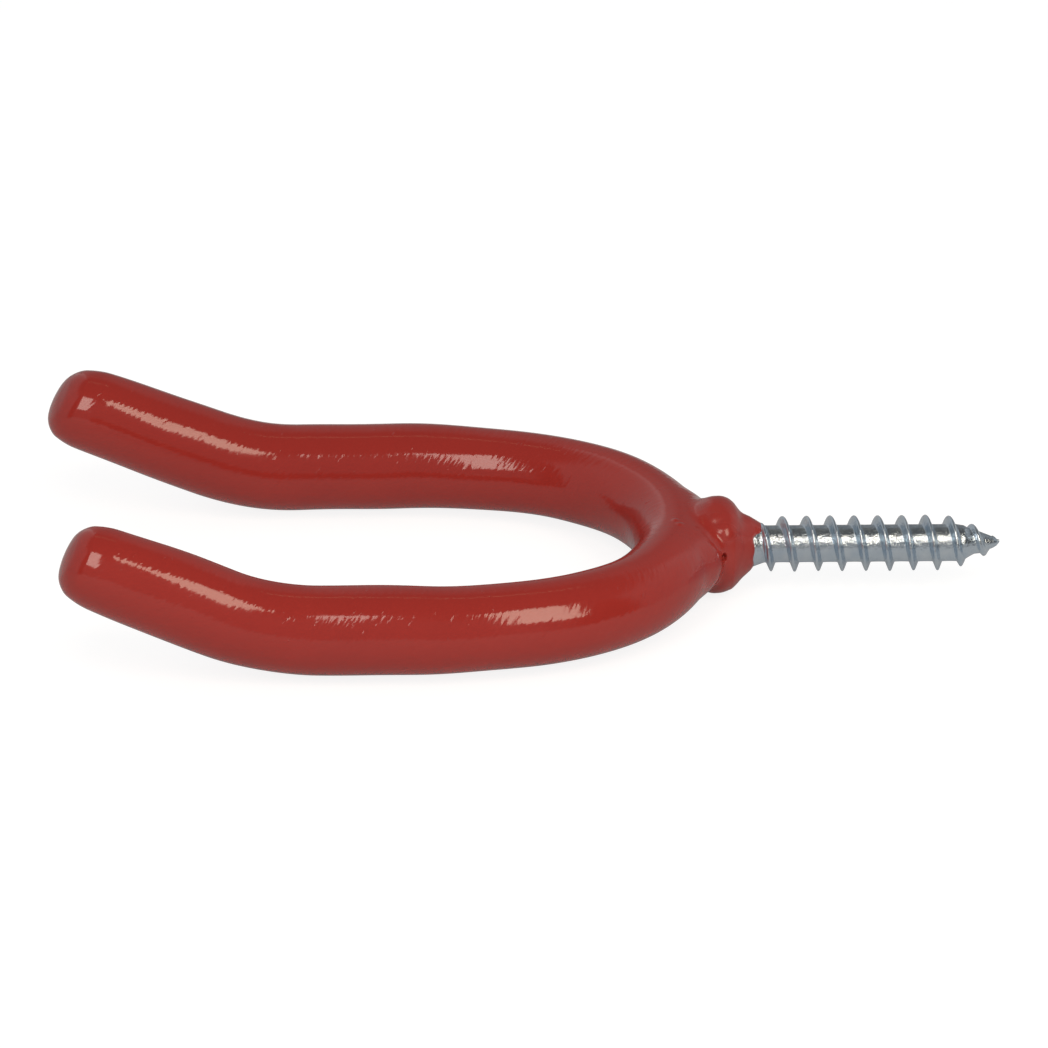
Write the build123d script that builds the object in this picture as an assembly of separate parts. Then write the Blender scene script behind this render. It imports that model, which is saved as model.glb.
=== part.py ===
# Double storage hook: a steel bar bent into a U, a wood screw butt-welded to the bend,
# and a plastic dip coat over the bar and the weld. Millimetres and degrees.
#
# The origin is on the screw's axis in the plane of the wall, where the coat ends.
# +Y runs along the screw into the wall, the prongs reach out towards -Y, and their
# tips turn up towards +Z. X runs across the two prongs.
from build123d import *
import os
from math import ceil

# The bent bar. Lengths and radii follow its centreline.
bar_diameter = 10.0
bend_radius = 26.5
bend_angle = 69.0
shoulder_radius = 56.0
prong_toe_in = 1.0
prong_straight = 14.0
tip_bend_radius = 36.0
tip_angle = 22.2
tip_length = 21.1
bar_end_round = 3.5
bend_standoff = 11.0

# The wood screw
core_diameter = 5.25
thread_diameter = 7.9
thread_pitch = 3.4
ridge_root_width = 1.25
ridge_crest_width = 0.3
root_diameter = 6.5
root_taper = 1.7
screw_reach = 35.3
point_length = 6.1
neck_length = 2.9
neck_diameter = 3.2
tip_diameter = 1.4
tip_blunting = 0.7
thread_fade = 7.6
last_crest_diameter = 3.7
last_crest_back = 1.9
thread_angle = 146.5

# The ring of weld metal round the screw's root
weld_diameter = 12.2
weld_width = 5.0
weld_offset = 5.9
weld_round = 2.3
weld_toe_diameter = 7.6
weld_toe_gap = 1.0

# The dip coat
coat_in_bend = 0.9
coat_on_prongs = 1.25
coat_on_weld = 0.85
coat_at_tip = 2.2
coat_tip_round = 5.5
coat_lip_diameter = 7.2
coat_lip_step = 0.4

# Allowances of the model itself
small_edge = 0.05
ridge_sunk = 2.0

bar_radius = bar_diameter / 2
core_radius = core_diameter / 2
thread_radius = thread_diameter / 2
root_radius = root_diameter / 2
square_turn = 90.0 + prong_toe_in
along_wall_normal = Rot(-90, 0, 0)


def prong_plan():
    """The flat part of one prong's centreline, from the middle of the bend to the tip bend."""
    middle = (0, -bend_standoff)
    bend = JernArc(start=middle, tangent=(1, 0), radius=bend_radius, arc_size=-bend_angle)
    ease = JernArc(start=bend @ 1, tangent=bend % 1, radius=shoulder_radius,
                   arc_size=bend_angle - square_turn)
    run = Line(ease @ 1, ease @ 1 + (ease % 1) * prong_straight)
    return bend, ease, run


def tip_path(run, length):
    """The turned-up end of one prong: a bend out of the prongs' plane and a straight tip."""
    heading = run % 1
    upright = Plane(origin=run @ 1, x_dir=heading, z_dir=heading.cross(Vector(0, 0, 1)))
    curl = JernArc(start=(0, 0), tangent=(1, 0), radius=tip_bend_radius, arc_size=tip_angle)
    tip = Line(curl @ 1, curl @ 1 + (curl % 1) * length)
    return upright * curl, upright * tip


def section_at(edge, place, radius):
    """A round section square to an edge at one of its ends."""
    return Plane(origin=edge @ place, z_dir=edge % place) * Circle(radius)


def round_end(solid, centre, amount, radius):
    """Round the rim of a prong's end face, as far as its radius allows."""
    rim = solid.edges().filter_by(GeomType.CIRCLE).sort_by_distance(centre)[0]
    return fillet(rim, min(amount, radius - small_edge))


def steel_prong():
    """One half of the bar, from the middle of the bend to its tip."""
    bend, ease, run = prong_plan()
    curl, tip = tip_path(run, tip_length)
    centreline = Wire([bend, ease, run, curl, tip])
    half = sweep(section_at(bend, 0, bar_radius), path=centreline)
    return round_end(half, tip @ 1, bar_end_round, bar_radius)


def coat_prong():
    """One half of the coat's outside: thin in the bend, thicker along the prong, domed at the end."""
    bend, ease, run = prong_plan()
    curl, tip = tip_path(run, tip_length + coat_at_tip)
    thin = bar_radius + coat_in_bend
    thick = bar_radius + coat_on_prongs
    in_bend = sweep(section_at(bend, 0, thin), path=bend)
    swelling = sweep([section_at(ease, 0, thin), section_at(run, 1, thick)],
                     path=Wire([ease, run]), multisection=True)
    turned_up = sweep(section_at(curl, 0, thick), path=Wire([curl, tip]))
    turned_up = round_end(turned_up, tip @ 1, coat_tip_round, thick)
    return in_bend + swelling + turned_up


def both_sides(half):
    """A half and its mirror image across the plane between the prongs."""
    return half + mirror(half, about=Plane.YZ)


def turned(outline):
    """A solid of revolution about the screw's axis, from an outline of (radius, place) points."""
    face = make_face(Polyline(*outline, close=True))
    return along_wall_normal * revolve(Plane.XZ * face, axis=Axis.Z)


def ring_blank(diameter, width, middle, rounding):
    """A turned disc with rounded rims, standing across the screw's axis."""
    disc = Cylinder(diameter / 2, width)
    disc = fillet(disc.edges().filter_by(GeomType.CIRCLE), min(rounding, width / 2 - small_edge))
    return Pos(0, middle, 0) * along_wall_normal * disc


def weld_blank(extra, toe_radius, toe_place):
    """The weld ring's outside with `extra` all over, and the cone that runs down to the screw."""
    middle = weld_offset - bend_standoff
    disc = ring_blank(weld_diameter + 2 * extra, weld_width + 2 * extra, middle, weld_round + extra)
    shoulder = weld_diameter / 2 - weld_round
    cone = turned([(0, middle), (shoulder + extra, middle), (toe_radius, toe_place), (0, toe_place)])
    return disc + cone


def screw_core():
    """The screw without its thread: root in the weld, taper, core, neck and blunt point."""
    neck_start = screw_reach - point_length
    return turned([
        (0, -bend_standoff), (root_radius, -bend_standoff), (root_radius, 0),
        (core_radius, root_taper), (core_radius, neck_start),
        (neck_diameter / 2, neck_start + neck_length),
        (tip_diameter / 2, screw_reach - tip_blunting), (0, screw_reach),
    ])


def thread_limits():
    """The outside that the thread grows and fades in, from the root to the point."""
    end = screw_reach - tip_blunting
    return turned([
        (0, 0), (root_radius, 0), (thread_radius, root_taper),
        (thread_radius, screw_reach - thread_fade),
        (last_crest_diameter / 2, screw_reach - last_crest_back),
        (tip_diameter / 2 - small_edge, end), (0, end),
    ])


def thread_turns():
    """The helical ridge, right-handed, one turn at a time. Its V section is sunk into the core,
    so that it also meets the thin point, and runs out past the crest, which the limits trim."""
    flank = (ridge_root_width - ridge_crest_width) / 2 / (thread_radius - core_radius)
    deep = core_radius - ridge_sunk
    apex = thread_radius + ridge_crest_width / 2 / flank
    deep_half = flank * (apex - deep)
    section = Plane.XZ * make_face(Polyline((deep, -deep_half), (apex, 0), (deep, deep_half), close=True))
    helix = Helix(pitch=thread_pitch, height=thread_pitch, radius=core_radius)
    turn = along_wall_normal * Rot(0, 0, thread_angle) * sweep(section, path=helix, is_frenet=True)
    count = ceil(screw_reach / thread_pitch) + 1
    return [Pos(0, place * thread_pitch, 0) * turn for place in range(-1, count - 1)]


steel_bar = both_sides(steel_prong())

limits = thread_limits()
screw_solid = screw_core() + [turn & limits for turn in thread_turns()]
wood_screw = screw_solid - steel_bar

weld_solid = weld_blank(0, weld_toe_diameter / 2, -weld_toe_gap)
weld_collar = weld_solid - steel_bar - wood_screw

coat_lip = turned([
    (0, -weld_toe_gap - coat_on_weld), (coat_lip_diameter / 2 + coat_lip_step, -weld_toe_gap - coat_on_weld),
    (coat_lip_diameter / 2 + coat_lip_step, -weld_toe_gap), (coat_lip_diameter / 2, 0), (0, 0),
])
coat_solid = (both_sides(coat_prong())
              + weld_blank(coat_on_weld, coat_lip_diameter / 2 + coat_lip_step, -weld_toe_gap)
              + coat_lip)
plastic_coating = coat_solid - steel_bar - weld_collar - wood_screw

nodes = {
    "steel_bar": steel_bar,
    "wood_screw": wood_screw,
    "weld_collar": weld_collar,
    "plastic_coating": plastic_coating,
}

os.makedirs("parts", exist_ok=True)
for name, solid in nodes.items():
    export_step(solid, f"parts/{name}.step")
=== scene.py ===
import bmesh
import bpy
import math
import numpy as np
from mathutils import Matrix, Vector


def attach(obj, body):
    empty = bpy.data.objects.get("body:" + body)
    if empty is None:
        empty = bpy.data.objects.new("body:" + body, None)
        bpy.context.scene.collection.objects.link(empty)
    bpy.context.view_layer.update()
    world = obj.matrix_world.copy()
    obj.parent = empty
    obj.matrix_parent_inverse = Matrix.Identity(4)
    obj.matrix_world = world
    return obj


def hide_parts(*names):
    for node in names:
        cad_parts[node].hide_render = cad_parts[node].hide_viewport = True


# The looks of a double storage hook: a bent steel bar and the weld of its wood screw under a red
# plastic dip coat. Lengths are in millimetres up to the point where a mesh or a lamp is made.
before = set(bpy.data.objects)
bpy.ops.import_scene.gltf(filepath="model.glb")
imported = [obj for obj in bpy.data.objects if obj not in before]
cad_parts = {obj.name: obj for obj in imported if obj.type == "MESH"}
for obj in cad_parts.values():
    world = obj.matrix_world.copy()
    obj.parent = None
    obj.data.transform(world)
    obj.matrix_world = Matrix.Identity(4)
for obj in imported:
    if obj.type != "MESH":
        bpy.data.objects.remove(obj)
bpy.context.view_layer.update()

MM = 0.001

# The coated bar, along its centreline
BEND_RADIUS = 26.5
BEND_ANGLE = math.radians(69.0)
SHOULDER_RADIUS = 56.0
SQUARE_TURN = math.radians(91.0)
STRAIGHT = 14.0
TIP_BEND_RADIUS = 36.0
TIP_ANGLE = math.radians(22.2)
TIP_LENGTH = 23.218
STANDOFF = 11.0

# Lengths along one prong, from the middle of the bend, at which its stretches end
BEND_END = BEND_RADIUS * BEND_ANGLE
SHOULDER_END = BEND_END + SHOULDER_RADIUS * (SQUARE_TURN - BEND_ANGLE)
STRAIGHT_END = SHOULDER_END + STRAIGHT
TIP_BEND_END = STRAIGHT_END + TIP_BEND_RADIUS * TIP_ANGLE
PRONG_LENGTH = TIP_BEND_END + TIP_LENGTH

# The coat's outside on the bar: it swells from the bend to the prongs, the near prong is a little
# thicker than the far one, and two faint waves, 27 and 15 mm long, run along it
RADIUS_IN_BEND = 5.9
RADIUS_ON_PRONGS = 6.25
SWELLING = (28, 68)
NEAR_THICKER = 0.035
LONG_WAVE = 0.05
SHORT_WAVE = 0.035

# The domed ends of the coat. The wall tapers towards the end, the more so near it, and rounds over
# into the dome. A tilt is how far the end leans along the bar for each millimetre up.
END_CORNER = 1.321
END_BULGE = 0.041
END_REACH = 6.5
TAPER_START = 11.6
TAPER = 0.053
TAPER_BLEND = 0.3
EASE_START = 5.84
EASE_PAST = 0.5
EASE = 0.044
NEAR_END_TILT = 0.036
FAR_END_TILT = 0.117
FAR_END_LONGER = 0.059

# The coat over the weld, a rounded and lumpy disc on the screw's axis
COLLAR_RADIUS = 6.9
COLLAR_WIDTH = 6.7
COLLAR_MIDDLE = -5.1
COLLAR_ROUND = 3.1
COLLAR_RISE = 0.05
WIDE_LUMPS = 0.10
NARROW_LUMPS = 0.07

# The coat's neck on the screw, a cone from the collar to a ragged edge. On the upper far side it
# runs on as a tongue, whose outline is given as places along the screw and radii.
NECK_AT_WALL = 3.5
NECK_SLOPE = 0.9
NECK_LIMIT = 6.2
NECK_START = -6.0
NECK_BLEND = 0.6
EDGE_PLACE = 0.05
EDGE_ROUND = 0.35
EDGE_WAVES = 0.1
TONGUE_LENGTH = 1.85
TONGUE_TURN = 119.0
TONGUE_FADE = (38, 84)
TONGUE_OUTLINE = [(-3, 5.3), (-1.2, 4.35), (-0.3, 3.95), (0.6, 3.4), (1.4, 2.9), (2.0, 2.62)]

# The weld's flow that fills the back of the bend
FLOW_HALF_LENGTH = 5.6
FLOW_PLACE = -10.25
FLOW_RADIUS = 5.75
FLOW_FLATNESS = 1.22
FLOW_SOFTNESS = 1.1
FLOW_BLEND = 1.8

# How softly the collar runs into the bar: on its side, and how much softer above and below
COLLAR_BLEND = 0.45
SOFTER_ABOVE = 1.5
SOFTER_BELOW = 0.6

# Beads of weld spatter and drips under the coat: centre and radius
BEADS = [
    (3.91, -4.54, 3.20, 2.2),
    (2.82, -5.53, 4.67, 1.6),
    (4.79, -11.48, 5.45, 0.6),
    (6.11, -10.98, 5.42, 0.6),
    (1.08, 0.45, 2.36, 0.7),
]
BEAD_BLEND = 0.35

# A pinhole in the coat on the collar, on the side of +X: place and half size along the screw and
# upwards, and depth
PINHOLE = (-4.55, 0.93)
PINHOLE_SIZE = (0.46, 0.86)
PINHOLE_DEPTH = 0.75

# The coat's mesh: its cells, and the length from which an edge on the domed ends is split
CELL = 0.42
LONG_EDGE = 0.8

# The coat's surface: how far its drain ripples lean along the bar for each millimetre up, and where
# they fade before the domed ends
RIPPLE_LEAN = 0.7
RIPPLES_FADE = (-4.2, -2.6)

# The screw: the core and the crest of its ridge are given as places along it and radii
PITCH = 3.4
CORE = 2.64
CREST = 3.9
ROOT = 3.25
ROOT_TAPER = 1.7
REACH = 35.3
SCREW_START = -2.0
CORE_OUTLINE = [
    (0, ROOT), (ROOT_TAPER, CORE), (29.0, CORE), (30.2, 2.46), (31.0, 2.0), (31.7, 1.64), (32.5, 1.54),
    (33.4, 1.2), (34.4, 0.8), (34.9, 0.5), (REACH, 0.03),
]
CREST_OUTLINE = [
    (-1.0, 2.9), (1.15, 2.95), (2.0, 3.6), (2.76, CREST), (27.6, CREST), (29.8, 3.36), (31.4, 2.6),
    (33.3, 1.86), (34.4, 1.15), (35.0, 0.4),
]
CREST_WEAR = (0.025, 0.02)
RIDGE_HALF = 0.64
RIDGE_FLANK = 1.35
RIDGE_ROUND = 0.3
RIDGE_FOOT = (0.06, 0.8)
THREAD_PLACE = 2.64
THREAD_TURN = math.radians(156)

# The camera: 24 degrees up, almost square to the prongs, far away. Its distance and the place of the
# bend in the photograph are in pixels, and a pixel's size on the object is in millimetres.
PHOTO_SIDE = 1048
PIXEL = 0.142
CAMERA_AZIMUTH = math.radians(85.81)
CAMERA_ELEVATION = math.radians(24.0)
CAMERA_ROLL = math.radians(1.28)
CAMERA_DISTANCE = 9928.87
BEND_IN_PHOTO = (674.85, 544.53)
SENSOR = 36

# How bright the studio's walls look in a reflection, by azimuth in degrees from +X towards +Y
WALLS = [
    (-180, 0.33), (-173, 0.38), (-170, 0.80), (-163, 0.56), (-150, 0.51), (-112, 0.56),
    (-100, 0.50), (-66, 0.51), (-60, 0.02), (-44, 0.02), (-34, 0.26), (20, 0.24),
    (30, 0.33), (38, 0.20), (45, 0.02), (74, 0.01), (82, 0.37), (100, 0.44),
    (118, 0.52), (131, 0.62), (140, 0.32), (158, 0.26), (172, 0.21), (180, 0.33),
]

# The ceiling's brightness, the heights between which it takes over from the walls, as sines, and
# how much lower it hangs towards +Y. Last, how strongly the whole studio lights matt surfaces.
CEILING = 0.10
CEILING_FROM = 0.68
CEILING_FULL = 0.86
CEILING_LEAN = 0.14
STUDIO_LIGHT = 0.64

FLOOR_HEIGHT = -6.95
FLOOR_HALF = 3000


def smooth_min(a, b, k):
    """The lower of two distances, rounded off where they meet."""
    h = np.clip(0.5 + 0.5 * (b - a) / k, 0, 1)
    return b + (a - b) * h - k * h * (1 - h)


def ramp(x, low, high):
    """0 below low, 1 above high, and smooth between."""
    t = np.clip((x - low) / (high - low), 0, 1)
    return t * t * (3 - 2 * t)


def rounded(a, b, corner):
    """Signed distance to a shape that two faces bound, a and b outside them, with a rounded edge."""
    a, b = a + corner, b + corner
    return np.minimum(np.maximum(a, b), 0) + np.hypot(np.maximum(a, 0), np.maximum(b, 0)) - corner


def radius_at(y, outline):
    """The radius of a turned outline at places along it."""
    return np.interp(y, *zip(*outline))


def outward(angle):
    """The direction from the centre of a flat bend, at an angle from the screw's axis."""
    return np.array([math.sin(angle), math.cos(angle), 0.0])


BEND_CENTRE = np.array([0.0, -STANDOFF - BEND_RADIUS, 0.0])
SHOULDER_CENTRE = BEND_CENTRE + (BEND_RADIUS - SHOULDER_RADIUS) * outward(BEND_ANGLE)


def arc_place(x, y, centre, radius, low, high):
    """The nearest place on a flat bend: its angle, how far outside the bend, and how far off its end."""
    across, along = x - centre[0], y - centre[1]
    angle = np.clip(np.arctan2(across, along), low, high)
    sin, cos = np.sin(angle), np.cos(angle)
    return angle, across * sin + along * cos - radius, across * cos - along * sin


def bar_place(p):
    """For points p: length along the bar (below 0 on the far prong), offsets across it, and how far
    past its end, which is a large negative number away from the tip."""
    x, y, z = np.abs(p[:, 0]), p[:, 1], p[:, 2]
    before_tip = -99 + 0 * x
    found = []

    def note(s, side, up, miss, past=before_tip):
        found.append(np.stack([np.hypot(np.hypot(side, up), miss), s, side, up, past]))

    # the tight bend and the shoulder
    angle, side, miss = arc_place(x, y, BEND_CENTRE, BEND_RADIUS, 0, BEND_ANGLE)
    note(BEND_RADIUS * angle, side, z, miss)
    angle, side, miss = arc_place(x, y, SHOULDER_CENTRE, SHOULDER_RADIUS, BEND_ANGLE, SQUARE_TURN)
    note(BEND_END + SHOULDER_RADIUS * (angle - BEND_ANGLE), side, z, miss)

    # the straight
    out = outward(SQUARE_TURN)
    start = SHOULDER_CENTRE + SHOULDER_RADIUS * out
    side = out[0] * (x - start[0]) + out[1] * (y - start[1])
    ahead = out[1] * (x - start[0]) - out[0] * (y - start[1])
    along = np.clip(ahead, 0, STRAIGHT)
    note(SHOULDER_END + along, side, z, ahead - along)

    # the bend that turns the tip up
    ahead = ahead - STRAIGHT
    drop = TIP_BEND_RADIUS - z
    angle = np.clip(np.arctan2(ahead, drop), 0, TIP_ANGLE)
    sin, cos = np.sin(angle), np.cos(angle)
    up = TIP_BEND_RADIUS - (ahead * sin + drop * cos)
    note(STRAIGHT_END + TIP_BEND_RADIUS * angle, side, up, ahead * cos - drop * sin)

    # the tip
    sin, cos = math.sin(TIP_ANGLE), math.cos(TIP_ANGLE)
    ahead = ahead - TIP_BEND_RADIUS * sin
    rise = z - TIP_BEND_RADIUS * (1 - cos)
    far = ahead * cos + rise * sin
    along = np.maximum(far, 0)
    note(TIP_BEND_END + along, side, rise * cos - ahead * sin, far - along, far - TIP_LENGTH)

    found = np.stack(found)
    nearest = found[:, 0].argmin(0)
    _, s, side, up, past = np.take_along_axis(found, nearest[None, None], 0)[0]
    return s * np.sign(p[:, 0]), side, up, past


def bar_distance(p):
    """Signed distance to the coat's outside on the bar."""
    s, side, up, past = bar_place(p)
    turn = np.arctan2(up, side)
    rho = np.hypot(side, up)
    radius = RADIUS_IN_BEND + (RADIUS_ON_PRONGS - RADIUS_IN_BEND) * ramp(np.abs(s), *SWELLING)
    radius = radius + NEAR_THICKER * np.clip(s / 30, -1, 1)
    radius = radius + LONG_WAVE * np.sin(0.23 * s + 0.6)
    radius = radius + SHORT_WAVE * np.sin(0.41 * s + 2.1 * np.sin(turn) + 1.3)
    far = s < 0
    past = past - np.where(far, FAR_END_LONGER, 0.0)
    past = past + np.where(far, FAR_END_TILT, NEAR_END_TILT) * np.clip(up, -END_REACH, END_REACH)
    ease = EASE * np.clip(past + EASE_START, 0, EASE_START + EASE_PAST) ** 2
    taper = rho - radius + (past + TAPER_START) * TAPER + ease
    wall = -smooth_min(radius - rho, -taper, TAPER_BLEND)
    end = past + END_BULGE * np.minimum(rho, END_REACH) ** 2
    return rounded(wall, end, END_CORNER)


def collar_distance(p):
    """Signed distance to the coat's outside over the weld and the screw's root."""
    x, y, z = p[:, 0], p[:, 1], p[:, 2]
    rise = COLLAR_RISE * ramp(-y, 0.5, 3)
    rho = np.hypot(x, z - rise)
    turn = np.arctan2(z - rise, x)
    lumps = WIDE_LUMPS * np.sin(3 * turn + 0.7 + 0.5 * y) + NARROW_LUMPS * np.sin(5 * turn - 1.1 * y)
    disc = rounded(rho - COLLAR_RADIUS - lumps, np.abs(y - COLLAR_MIDDLE) - COLLAR_WIDTH / 2, COLLAR_ROUND)
    return smooth_min(disc, neck_distance(y, rho, turn), NECK_BLEND)


def neck_distance(y, rho, turn):
    """Signed distance to the coat's neck and tongue on the screw. The end face evens out inwards,
    so that it meets the screw's axis in one place."""
    away = np.abs((np.degrees(turn) - TONGUE_TURN + 180) % 360 - 180)
    tongue = 1 - ramp(away, *TONGUE_FADE)
    ragged = TONGUE_LENGTH * tongue + EDGE_WAVES * np.sin(7 * turn + 0.4)
    edge = EDGE_PLACE + ragged * ramp(rho, 0.4, 2.4)
    cone = NECK_AT_WALL - NECK_SLOPE * y
    radius = np.minimum(cone + (radius_at(y, TONGUE_OUTLINE) - cone) * tongue, NECK_LIMIT)
    return rounded(rho - radius, np.maximum(y - edge, NECK_START - y), EDGE_ROUND)


def flow_distance(p):
    """Signed distance to the weld's flow that fills the bend's back, under the coat."""
    x = np.maximum(np.abs(p[:, 0]) - FLOW_HALF_LENGTH, 0)
    reach = np.sqrt(x * x + (p[:, 1] - FLOW_PLACE) ** 2 + (FLOW_FLATNESS * p[:, 2]) ** 2)
    return (reach - FLOW_RADIUS) / FLOW_SOFTNESS


def coat_distance(p):
    """Signed distance to the coat's outside."""
    z = p[:, 2]
    d = smooth_min(bar_distance(p), flow_distance(p), FLOW_BLEND)
    softness = COLLAR_BLEND + SOFTER_ABOVE * ramp(z, 0.5, 4.5) + SOFTER_BELOW * ramp(-z, 0.5, 3)
    d = smooth_min(d, collar_distance(p), softness)
    for x, y, z, radius in BEADS:
        d = smooth_min(d, np.linalg.norm(p - np.array((x, y, z)), axis=1) - radius, BEAD_BLEND)
    return d


def pinhole_depth(p):
    """How deep the pinhole is sunk into the coat at points p."""
    along = (p[:, 1] - PINHOLE[0]) / PINHOLE_SIZE[0]
    up = (p[:, 2] - PINHOLE[1]) / PINHOLE_SIZE[1]
    return PINHOLE_DEPTH * (1 - ramp(np.hypot(along, up), 0, 1)) * (p[:, 0] > 3)


def pitted_distance(p):
    """The coat's field with the pinhole sunk into it, for the normals."""
    return coat_distance(p) + pinhole_depth(p)


def gradient(distance, p, step=0.02):
    """The outward direction of a distance field."""
    out = np.zeros_like(p)
    for k in range(3):
        shift = np.zeros(3)
        shift[k] = step
        out[:, k] = distance(p + shift) - distance(p - shift)
    return out / (np.linalg.norm(out, axis=1)[:, None] + 1e-12)


def mesh_object(name, points, faces):
    """An object from points in millimetres."""
    mesh = bpy.data.meshes.new(name)
    mesh.from_pydata((np.asarray(points) * MM).tolist(), [], faces)
    mesh.update()
    thing = bpy.data.objects.new(name, mesh)
    bpy.context.scene.collection.objects.link(thing)
    return thing


def points_of(mesh):
    """A mesh's points in millimetres."""
    flat = np.empty(len(mesh.vertices) * 3)
    mesh.vertices.foreach_get("co", flat)
    return flat.reshape(-1, 3) / MM


def set_points(mesh, points):
    """Move a mesh's points, given in millimetres."""
    mesh.vertices.foreach_set("co", (points * MM).ravel())
    mesh.update()


def smooth_normals(mesh, normals):
    """Shade a mesh with the true normals of its form."""
    mesh.polygons.foreach_set("use_smooth", [True] * len(mesh.polygons))
    mesh.normals_split_custom_set_from_vertices(normals.tolist())


def place_at(s):
    """Point, sideways direction and upward direction at length s along one prong."""
    if s <= BEND_END:
        side = outward(s / BEND_RADIUS)
        point = BEND_CENTRE + BEND_RADIUS * side
    else:
        side = outward(min(BEND_ANGLE + (s - BEND_END) / SHOULDER_RADIUS, SQUARE_TURN))
        point = SHOULDER_CENTRE + SHOULDER_RADIUS * side
    head = np.array([side[1], -side[0], 0])
    up = np.array([0.0, 0.0, 1.0])
    point = point + head * np.clip(s - SHOULDER_END, 0, STRAIGHT)
    rise = float(np.clip((s - STRAIGHT_END) / TIP_BEND_RADIUS, 0, TIP_ANGLE))
    point = point + TIP_BEND_RADIUS * (math.sin(rise) * head + (1 - math.cos(rise)) * up)
    head, up = turned(head, up, rise)
    point = point + head * max(s - TIP_BEND_END, 0)
    return np.concatenate([point, side, up])


def centreline(count):
    """Places along the bar's centreline from one end to the other, with directions across it."""
    half = np.array([place_at(s) for s in np.linspace(0, PRONG_LENGTH, count)])
    mirrored = half[:0:-1].copy()
    mirrored[:, [0, 3, 6]] *= -1
    return np.vstack([mirrored, half])


def rough_coat():
    """A closed tube and a collar, roughly the coat's outside, to be drawn onto its true form."""
    around = 48
    tube_radius = 6.0
    rows = centreline(180)
    turn = np.linspace(0, 2 * math.pi, around, endpoint=False)
    sideways, upwards = rows[:, None, 3:6], rows[:, None, 6:9]
    ring = np.cos(turn)[None, :, None] * sideways + np.sin(turn)[None, :, None] * upwards
    points = (rows[:, None, 0:3] + tube_radius * ring).reshape(-1, 3)
    faces = []
    for i in range(len(rows) - 1):
        for j in range(around):
            k = (j + 1) % around
            faces.append((i * around + j, i * around + k, (i + 1) * around + k, (i + 1) * around + j))
    faces.append(tuple(range(around))[::-1])
    faces.append(tuple(range((len(rows) - 1) * around, len(rows) * around)))
    outline = [
        (-8.3, 0.0), (-8.3, 5.0), (-6.5, 6.8), (-4.0, 6.8), (-2.0, 5.2), (-1.2, 4.2), (-0.3, 4.1),
        (0.3, 3.6), (0.3, 0.0),
    ]
    first = len(points)
    collar = [(r * math.cos(a), y, r * math.sin(a)) for y, r in outline for a in turn]
    for i in range(len(outline) - 1):
        for j in range(around):
            k = (j + 1) % around
            corners = (i * around + j, (i + 1) * around + j, (i + 1) * around + k, i * around + k)
            faces.append(tuple(first + c for c in corners))
    return mesh_object("rough_coat", np.vstack([points, collar]), faces)


def remeshed(thing, size):
    """One closed mesh of even cells from closed ones that overlap."""
    modifier = thing.modifiers.new("even_cells", "REMESH")
    modifier.mode = "VOXEL"
    modifier.voxel_size = size * MM
    graph = bpy.context.evaluated_depsgraph_get()
    mesh = bpy.data.meshes.new_from_object(thing.evaluated_get(graph))
    bpy.data.objects.remove(thing)
    return mesh


def refine(mesh, chosen, limit=0.0):
    """Split the cells for which chosen(centres) holds and that have an edge longer than the limit."""
    form = bmesh.new()
    form.from_mesh(mesh)
    form.faces.ensure_lookup_table()
    centres = np.array([f.calc_center_median() for f in form.faces]) / MM
    spans = np.array([max(e.calc_length() for e in f.edges) for f in form.faces]) / MM
    pick = chosen(centres) & (spans > limit)
    edges = {e for f, yes in zip(form.faces, pick) if yes for e in f.edges}
    bmesh.ops.subdivide_edges(form, edges=list(edges), cuts=1, use_grid_fill=True)
    form.to_mesh(mesh)
    form.free()


def over_weld(c):
    """Whether cells are in the middle of the bend or over the weld."""
    return (c[:, 1] > -15) & (np.abs(c[:, 0]) < 10) & (c[:, 2] > -7.2)


def by_pinhole(c, reach):
    """Whether cells are near the pinhole."""
    return (c[:, 0] > 3) & (np.hypot(c[:, 1] - PINHOLE[0], c[:, 2] - PINHOLE[1]) < reach)


def by_pinhole_or_edge(c):
    """Whether cells are near the pinhole or at the coat's edge on the screw."""
    return by_pinhole(c, 1.4) | ((c[:, 1] > -0.9) & (c[:, 1] < 3))


def on_ends(c):
    """Whether cells are on the domed ends."""
    return c[:, 1] < -85


def draw_onto_coat(mesh, rounds):
    """Move a mesh's points along the field's gradient until they lie on the coat's outside."""
    points = points_of(mesh)
    for _ in range(rounds):
        points = points - gradient(coat_distance, points) * coat_distance(points)[:, None]
    set_points(mesh, points)
    return points


def add_attribute(mesh, name, values):
    """Keep one number for each point of a mesh."""
    attribute = mesh.attributes.new(name, "FLOAT", "POINT")
    attribute.data.foreach_set("value", values)


def plastic_coat():
    """The dip coat as one closed skin."""
    mesh = remeshed(rough_coat(), CELL)
    draw_onto_coat(mesh, 3)
    refine(mesh, over_weld)
    draw_onto_coat(mesh, 2)
    refine(mesh, by_pinhole_or_edge)
    refine(mesh, on_ends, LONG_EDGE)
    draw_onto_coat(mesh, 2)
    refine(mesh, lambda c: by_pinhole(c, 1.1))
    refine(mesh, on_ends, LONG_EDGE)
    points = draw_onto_coat(mesh, 2)
    points[:, 0] -= pinhole_depth(points)
    set_points(mesh, points)
    mesh.name = "coat"
    thing = bpy.data.objects.new("dip_coat", mesh)
    bpy.context.scene.collection.objects.link(thing)
    smooth_normals(mesh, gradient(pitted_distance, points))
    s, side, up, past = bar_place(points)
    place = mesh.attributes.new("coat_place", "FLOAT_VECTOR", "POINT")
    leaning = s + RIPPLE_LEAN * up * np.clip(s / 10, -1, 1)
    place.data.foreach_set("vector", np.stack([leaning, side, up], 1).ravel())
    add_attribute(mesh, "rippled", 1 - ramp(past, *RIPPLES_FADE))
    add_attribute(mesh, "over_weld", 1 - ramp(collar_distance(points), 0, 0.5))
    return thing


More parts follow.
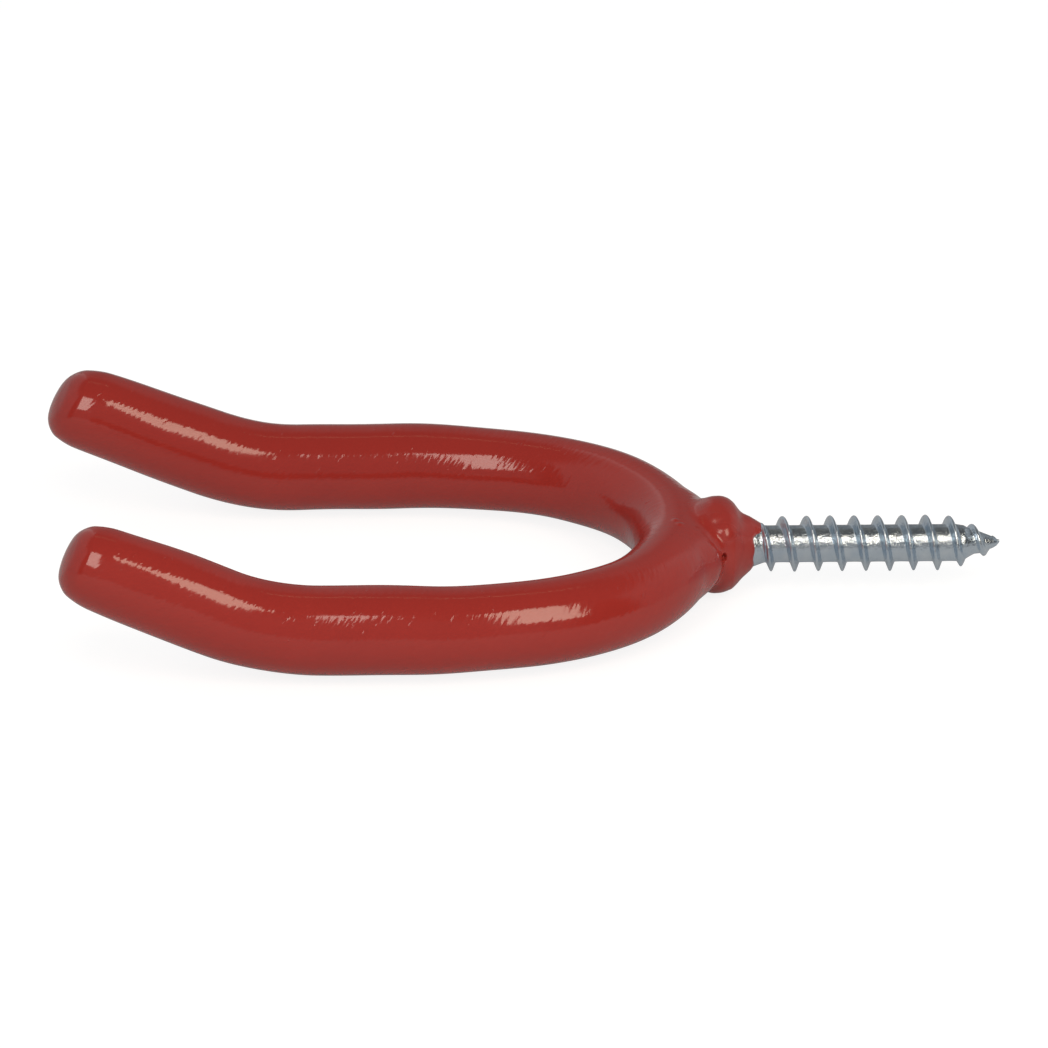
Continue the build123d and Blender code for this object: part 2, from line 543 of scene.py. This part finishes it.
def screw_radius(y, turn):
    """The screw's radius at a place along it and a turn about it: a core with a rounded ridge, whose
    crest is slightly worn and whose foot is filled."""
    core = radius_at(y, CORE_OUTLINE)
    crest = radius_at(y, CREST_OUTLINE)
    crest = crest + CREST_WEAR[0] * np.sin(2.3 * y + 1.0) + CREST_WEAR[1] * np.sin(3.1 * turn + 0.9 * y)
    phase = (y - THREAD_PLACE) / PITCH - (turn - THREAD_TURN) / (2 * math.pi)
    off = np.abs(phase - np.round(phase)) * PITCH
    ridge = np.maximum(smooth_min(1.0, RIDGE_FLANK * (1 - off / RIDGE_HALF), RIDGE_ROUND), 0)
    foot = RIDGE_FOOT[0] * np.exp(-(off / RIDGE_FOOT[1]) ** 2) * (y > 1) * (y < 33)
    return core + np.maximum(crest - core, 0) * ridge + foot


def close_up(mesh):
    """Merge a skin's doubled points, cap its open ends and turn its faces outwards."""
    form = bmesh.new()
    form.from_mesh(mesh)
    bmesh.ops.remove_doubles(form, verts=form.verts, dist=0.002 * MM)
    bmesh.ops.dissolve_degenerate(form, dist=0.0005 * MM, edges=form.edges)
    bmesh.ops.holes_fill(form, edges=[e for e in form.edges if e.is_boundary], sides=0)
    bmesh.ops.recalc_face_normals(form, faces=form.faces)
    form.to_mesh(mesh)
    form.free()


def wood_screw():
    """The screw as one skin, with rows that run along the thread."""
    around, rows_per_turn = 96, 40
    turn = np.linspace(0, 2 * math.pi, around, endpoint=False)
    rows = int((REACH - SCREW_START) / PITCH * rows_per_turn) + rows_per_turn + 1
    step = np.arange(-rows_per_turn, rows) * PITCH / rows_per_turn
    y = np.clip(SCREW_START + step[:, None] + PITCH * turn[None, :] / (2 * math.pi), SCREW_START, REACH)
    r = screw_radius(y, turn[None, :] + 0 * y)
    points = np.stack([r * np.sin(turn), y, r * np.cos(turn)], -1).reshape(-1, 3)
    faces = []
    last = around - 1
    for i in range(len(step) - 1):
        for j in range(last):
            a, b = i * around + j, (i + 1) * around + j
            faces.append((a, b, b + 1, a + 1))
        k = i + rows_per_turn
        if k + 1 < len(step):
            faces.append((i * around + last, (i + 1) * around + last, (k + 1) * around, k * around))
    thing = mesh_object("screw", points, faces)
    close_up(thing.data)
    for face in thing.data.polygons:
        face.use_smooth = len(face.vertices) < 5
    return thing


def linear(code):
    """An sRGB hex colour as linear red, green, blue and alpha."""
    values = [int(code[k:k + 2], 16) / 255 for k in (0, 2, 4)]
    return [v / 12.92 if v <= 0.04045 else ((v + 0.055) / 1.055) ** 2.4 for v in values] + [1.0]


def add(tree, kind, links=None, **values):
    """A shader node with its settings, its sockets' values and its incoming links."""
    node = tree.nodes.new(kind)
    for name, value in values.items():
        if hasattr(node, name):
            setattr(node, name, value)
        else:
            node.inputs[name.replace("_", " ")].default_value = value
    for name, source in (links or {}).items():
        tree.links.new(source, node.inputs[name])
    return node


def material(name):
    """An empty node material and its tree."""
    made = bpy.data.materials.new(name)
    made.use_nodes = True
    made.node_tree.nodes.clear()
    return made, made.node_tree


def dip_coat_pvc():
    """The coat: soft PVC that the hot bar was dipped in, and that gelled and cooled as it drained."""
    # A thick glossy skin of one red. Its faint ripples, about 0.7 mm apart along the bar and 1.8 mm
    # round it, break the softboxes' mirror images into ragged streaks, and a few nibs leave specks.
    # Over the weld the coat is duller.
    ripples_per_mm = (1.5, 0.55, 0.55)
    ripple_depth = 0.04
    nib_depth = 0.04
    made, tree = material("dip_coated_soft_pvc")
    place = add(tree, "ShaderNodeAttribute", attribute_name="coat_place")
    stretched = add(tree, "ShaderNodeMapping", {"Vector": place.outputs["Vector"]})
    stretched.inputs["Scale"].default_value = ripples_per_mm
    ripple = add(tree, "ShaderNodeTexNoise", {"Vector": stretched.outputs["Vector"]},
                 Scale=1.0, Detail=1.0, Roughness=0.4)
    rippled = add(tree, "ShaderNodeAttribute", attribute_name="rippled")
    height = add(tree, "ShaderNodeMath", {0: ripple.outputs["Fac"], 1: rippled.outputs["Fac"]},
                 operation="MULTIPLY")
    soft = add(tree, "ShaderNodeBump", {"Height": height.outputs[0]},
               Strength=1.0, Distance=ripple_depth * MM)
    nibs = add(tree, "ShaderNodeTexNoise", {"Vector": stretched.outputs["Vector"]}, Scale=1.3, Detail=1.0)
    sparse = add(tree, "ShaderNodeMapRange", {"Value": nibs.outputs["Fac"]},
                 interpolation_type="SMOOTHSTEP", From_Min=0.68, From_Max=0.86)
    bump = add(tree, "ShaderNodeBump",
               {"Height": sparse.outputs["Result"], "Normal": soft.outputs["Normal"]},
               Strength=1.0, Distance=nib_depth * MM)
    tone = add(tree, "ShaderNodeTexNoise", {"Vector": place.outputs["Vector"]}, Scale=0.12, Detail=3.0)
    colour = add(tree, "ShaderNodeMix", {"Factor": tone.outputs["Fac"]}, data_type="RGBA",
                 A=linear("902A24"), B=linear("962D26"))
    weld = add(tree, "ShaderNodeAttribute", attribute_name="over_weld")
    dull = add(tree, "ShaderNodeMapRange", {"Value": weld.outputs["Fac"]}, To_Min=0.1, To_Max=0.29)
    skin = add(tree, "ShaderNodeBsdfPrincipled",
               {"Base Color": colour.outputs["Result"], "Normal": bump.outputs["Normal"],
                "Roughness": dull.outputs["Result"]}, IOR=1.53)
    add(tree, "ShaderNodeOutputMaterial", {"Surface": skin.outputs["BSDF"]})
    return made


def zinc_plate():
    """The screw: rolled steel with a bright zinc plate."""
    # A bluish bright metal. The plate's crinkled grain breaks up its shine, and is drawn at 0.67 mm,
    # coarser than a real one, so that it shows. Paler and bluer patches are about 2.4 mm wide.
    grain_size = 2 / 3
    patch_size = 2.38
    grain_depth = 0.13
    made, tree = material("zinc_plated_rolled_steel")
    where = add(tree, "ShaderNodeTexCoord")
    grain = add(tree, "ShaderNodeTexNoise", {"Vector": where.outputs["Object"]},
                Scale=1 / (grain_size * MM), Detail=4.0, Roughness=0.6)
    patch = add(tree, "ShaderNodeTexNoise", {"Vector": where.outputs["Object"]},
                Scale=1 / (patch_size * MM), Detail=3.0)
    bump = add(tree, "ShaderNodeBump", {"Height": grain.outputs["Fac"]},
               Strength=1.0, Distance=grain_depth * MM)
    colour = add(tree, "ShaderNodeMix", {"Factor": patch.outputs["Fac"]}, data_type="RGBA",
                 A=linear("BACDDF"), B=linear("E6EEF3"))
    skin = add(tree, "ShaderNodeBsdfPrincipled",
               {"Base Color": colour.outputs["Result"], "Normal": bump.outputs["Normal"]},
               Metallic=1.0, Roughness=0.22)
    add(tree, "ShaderNodeOutputMaterial", {"Surface": skin.outputs["BSDF"]})
    return made


def bare_steel(name, code, roughness, grain_size):
    """Bare steel that the coat hides."""
    # Drawn bar is grey and half dull with a faint grain, and weld metal is darker and duller.
    grain_depth = 0.05
    made, tree = material(name)
    where = add(tree, "ShaderNodeTexCoord")
    grain = add(tree, "ShaderNodeTexNoise", {"Vector": where.outputs["Object"]},
                Scale=1 / (grain_size * MM), Detail=3.0)
    bump = add(tree, "ShaderNodeBump", {"Height": grain.outputs["Fac"]},
               Strength=1.0, Distance=grain_depth * MM)
    skin = add(tree, "ShaderNodeBsdfPrincipled", {"Normal": bump.outputs["Normal"]},
               Base_Color=linear(code), Metallic=1.0, Roughness=roughness)
    add(tree, "ShaderNodeOutputMaterial", {"Surface": skin.outputs["BSDF"]})
    return made


def matt_white_paper():
    """The floor: matt white paper."""
    # The eye sees it white, with the object's own shadow on it. In the coat and the screw it mirrors
    # as a mid grey, and other light comes back from it as from white paper.
    made, tree = material("matt_white_paper")
    rays = add(tree, "ShaderNodeLightPath")
    glow = add(tree, "ShaderNodeEmission", Strength=0.86)
    faint = add(tree, "ShaderNodeBsdfDiffuse", Color=(0.22, 0.22, 0.22, 1))
    shown = add(tree, "ShaderNodeAddShader", {0: glow.outputs[0], 1: faint.outputs[0]})
    paper = add(tree, "ShaderNodeBsdfDiffuse", Color=(0.88, 0.88, 0.88, 1))
    dim = add(tree, "ShaderNodeEmission", Strength=0.2)
    grey = add(tree, "ShaderNodeBsdfDiffuse", Color=(0.25, 0.25, 0.25, 1))
    mirrored = add(tree, "ShaderNodeAddShader", {0: dim.outputs[0], 1: grey.outputs[0]})
    other = add(tree, "ShaderNodeMixShader",
                {0: rays.outputs["Is Glossy Ray"], 1: paper.outputs[0], 2: mirrored.outputs[0]})
    both = add(tree, "ShaderNodeMixShader",
               {0: rays.outputs["Is Camera Ray"], 1: other.outputs[0], 2: shown.outputs[0]})
    add(tree, "ShaderNodeOutputMaterial", {"Surface": both.outputs[0]})
    return made


def dress(thing, made):
    """Give an object one material."""
    thing.data.materials.clear()
    thing.data.materials.append(made)


def table_top():
    """A wide pale floor under the object."""
    square = ((-1, -1), (1, -1), (1, 1), (-1, 1))
    corners = [(x * FLOOR_HALF, y * FLOOR_HALF, FLOOR_HEIGHT) for x, y in square]
    floor = mesh_object("floor", corners, [(0, 1, 2, 3)])
    dress(floor, matt_white_paper())


def surroundings():
    """A studio round the object: dim where the camera stands, pale panels to the sides and behind."""
    world = bpy.data.worlds.new("studio")
    bpy.context.scene.world = world
    world.use_nodes = True
    tree = world.node_tree
    tree.nodes.clear()
    rays = add(tree, "ShaderNodeLightPath")
    where = add(tree, "ShaderNodeTexCoord")
    parts = add(tree, "ShaderNodeSeparateXYZ", {0: where.outputs["Generated"]})
    turn = add(tree, "ShaderNodeMath", {0: parts.outputs["Y"], 1: parts.outputs["X"]},
               operation="ARCTAN2")
    share = add(tree, "ShaderNodeMapRange", {"Value": turn.outputs[0]},
                From_Min=-math.pi, From_Max=math.pi)
    wall = add(tree, "ShaderNodeValToRGB", {"Fac": share.outputs[0]})
    stops = wall.color_ramp.elements
    for azimuth, brightness in WALLS[1:-1]:
        stops.new((azimuth + 180) / 360)
    for stop, (azimuth, brightness) in zip(stops, WALLS):
        stop.position = (azimuth + 180) / 360
        stop.color = (brightness, brightness, brightness, 1)
    height = add(tree, "ShaderNodeMath", {0: parts.outputs["Y"], 2: parts.outputs["Z"]},
                 operation="MULTIPLY_ADD")
    height.inputs[1].default_value = CEILING_LEAN
    high = add(tree, "ShaderNodeMapRange", {"Value": height.outputs[0]},
               interpolation_type="SMOOTHSTEP", From_Min=CEILING_FROM, From_Max=CEILING_FULL)
    mirrored = add(tree, "ShaderNodeMix", {"Factor": high.outputs[0], "A": wall.outputs[0]},
                   data_type="FLOAT", B=CEILING)
    level = add(tree, "ShaderNodeMix",
                {"Factor": rays.outputs["Is Glossy Ray"], "B": mirrored.outputs["Result"]},
                data_type="FLOAT", A=STUDIO_LIGHT)
    seen = add(tree, "ShaderNodeMath",
               {0: rays.outputs["Is Camera Ray"], 1: rays.outputs["Is Transmission Ray"]},
               operation="MAXIMUM")
    final = add(tree, "ShaderNodeMix", {"Factor": seen.outputs[0], "A": level.outputs["Result"]},
                data_type="FLOAT", B=1.0)
    sky = add(tree, "ShaderNodeBackground", {"Strength": final.outputs["Result"]})
    add(tree, "ShaderNodeOutputWorld", {"Surface": sky.outputs[0]})


def turned(right, up, angle):
    """Two directions turned about the one that is square to both."""
    c, k = math.cos(angle), math.sin(angle)
    return c * right + k * up, c * up - k * right


def soft_light(name, azimuth, elevation, distance, width, height, lean, radiance, tint):
    """A softbox that faces the straights of the prongs. Azimuth runs from +X towards +Y, and lean is its
    turn about its own middle, in degrees."""
    target = Vector((0, -40, 0))
    a, e = math.radians(azimuth), math.radians(elevation)
    way = Vector((math.cos(e) * math.cos(a), math.cos(e) * math.sin(a), math.sin(e)))
    across = Vector((-math.sin(a), math.cos(a), 0))
    upward = way.cross(across)
    across, upward = turned(across, upward, math.radians(lean))
    data = bpy.data.lights.new(name, "AREA")
    data.shape = "RECTANGLE"
    data.size, data.size_y = width * MM, height * MM
    data.energy = radiance * math.pi * width * MM * height * MM
    data.color = tint
    lamp = bpy.data.objects.new(name, data)
    turn = Matrix((across, upward, way)).transposed().to_4x4()
    lamp.matrix_world = Matrix.Translation((target + way * distance) * MM) @ turn
    bpy.context.scene.collection.objects.link(lamp)


def camera():
    """The camera where the photograph was taken from."""
    a, e = CAMERA_AZIMUTH, CAMERA_ELEVATION
    view = Vector((-math.sin(a) * math.cos(e), math.cos(a) * math.cos(e), -math.sin(e)))
    right = view.cross(Vector((0, 0, 1))).normalized()
    right, up = turned(right, right.cross(view), CAMERA_ROLL)
    aside, down = BEND_IN_PHOTO[0] - PHOTO_SIDE / 2, BEND_IN_PHOTO[1] - PHOTO_SIDE / 2
    place = (down * up - aside * right - CAMERA_DISTANCE * view) * PIXEL + Vector((0, -STANDOFF, 0))
    data = bpy.data.cameras.new("camera")
    data.sensor_width = SENSOR
    data.lens = SENSOR * CAMERA_DISTANCE / PHOTO_SIDE
    data.clip_start, data.clip_end = 0.01, 50
    eye = bpy.data.objects.new("camera", data)
    turn = Matrix((right, up, -view)).transposed().to_4x4()
    eye.matrix_world = Matrix.Translation(place * MM) @ turn
    bpy.context.scene.collection.objects.link(eye)
    bpy.context.scene.camera = eye


coat = plastic_coat()
screw = wood_screw()
pieces = ((coat, "plastic_coating", "red_pvc"), (screw, "wood_screw", "zinc_plated_steel"))
for piece, node, slot in pieces:
    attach(piece, "root")
    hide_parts(node)
red_pvc = dip_coat_pvc()
zinc = zinc_plate()
dress(coat, red_pvc)
dress(screw, zinc)
dress(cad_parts["plastic_coating"], red_pvc)
dress(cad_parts["wood_screw"], zinc)
dress(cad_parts["steel_bar"], bare_steel("drawn_mild_steel_bar", "8C8A86", 0.4, 1.1))
dress(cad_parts["weld_collar"], bare_steel("flash_butt_weld_metal", "5F5B57", 0.55, 1.7))

table_top()
surroundings()

# Two warm softboxes on the camera's side, and high on the far side a strip that draws a thin line.
# The numbers are azimuth, elevation, distance, width, height, lean, brightness and tint.
soft_light("softbox_right", 37.5, 39.9, 500, 150, 312, -4.7, 5.2, (1.0, 0.86, 0.69))
soft_light("softbox_left", -21.0, 43.4, 600, 204, 410, -8.8, 4.9, (1.0, 0.88, 0.78))
soft_light("strip", 170, 66, 425, 200, 4, 0, 3.0, (1.0, 0.8, 0.5))
camera()
bpy.context.scene.view_settings.view_transform = "Standard"
